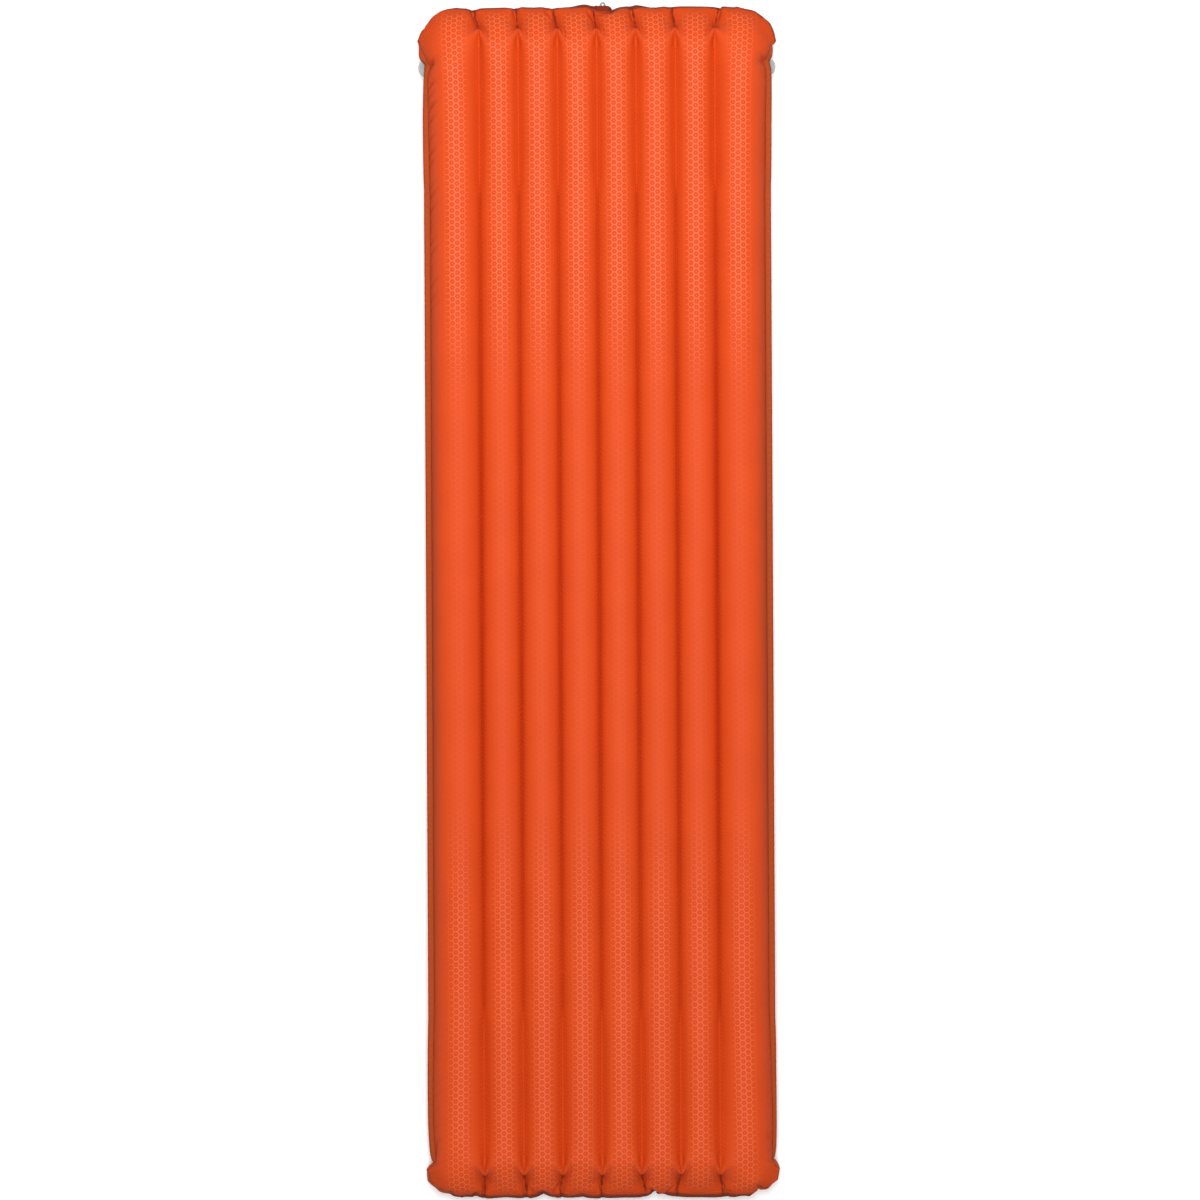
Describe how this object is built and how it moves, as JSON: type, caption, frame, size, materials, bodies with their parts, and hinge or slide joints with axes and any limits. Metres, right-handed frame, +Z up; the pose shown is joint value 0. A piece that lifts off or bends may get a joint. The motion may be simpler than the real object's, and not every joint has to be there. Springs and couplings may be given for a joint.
{
  "type": "inflatable sleeping pad",
  "caption": "Narrow inflatable camping mat with rounded lengthwise air chambers, a welded edge, flat plug valves under its head corners and a small hang tab.",
  "frame": {"origin": "bottom centre of the overall box, on the surface the inflated pad lies on", "axes": "+Y towards the head end with the valves and the hang tab, +X to the right of someone looking down with the head end away from them, +Z up"},
  "size_m": [0.5482, 1.83, 0.08],
  "materials": {
    "top_fabric": "satin coated ripstop",
    "base_fabric": "satin coated ripstop",
    "baffle_film": "matte coated fabric",
    "valve_tpu": "translucent soft plastic",
    "flap_silicone": "matte",
    "tab_tpu": "matte"
  },
  "bodies": {
    "pad": {"top_sheet": "top_fabric", "bottom_sheet": "base_fabric", "baffle_1": "baffle_film", "baffle_2": "baffle_film", "baffle_3": "baffle_film", "baffle_4": "baffle_film", "baffle_5": "baffle_film", "baffle_6": "baffle_film", "baffle_7": "baffle_film", "inflate_valve_body": "valve_tpu", "inflate_tether": "valve_tpu", "inflate_check_grid": "valve_tpu", "deflate_valve_body": "valve_tpu", "deflate_tether": "valve_tpu", "hang_tab": "tab_tpu"},
    "inflate_cap": {"inflate_cap": "valve_tpu"},
    "deflate_cap": {"deflate_cap": "valve_tpu"},
    "check_flap": {"inflate_check_flap": "flap_silicone"}
  },
  "joints": [
    {"name": "inflate_cap_hinge", "type": "hinge", "parent": "pad", "child": "inflate_cap", "pos_m": [-0.2631, 0.815, 0.02591], "axis": [0, 1, 0], "range_deg": [0, 150]},
    {"name": "deflate_cap_hinge", "type": "hinge", "parent": "pad", "child": "deflate_cap", "pos_m": [0.2631, 0.815, 0.02591], "axis": [0, -1, 0], "range_deg": [0, 150]},
    {"name": "check_flap_hinge", "type": "hinge", "parent": "pad", "child": "check_flap", "pos_m": [-0.21638, 0.815, 0.01683], "axis": [0, 1, 0], "range_deg": [0, 45], "stiffness_Nm_per_rad": 0.0005}
  ]
}
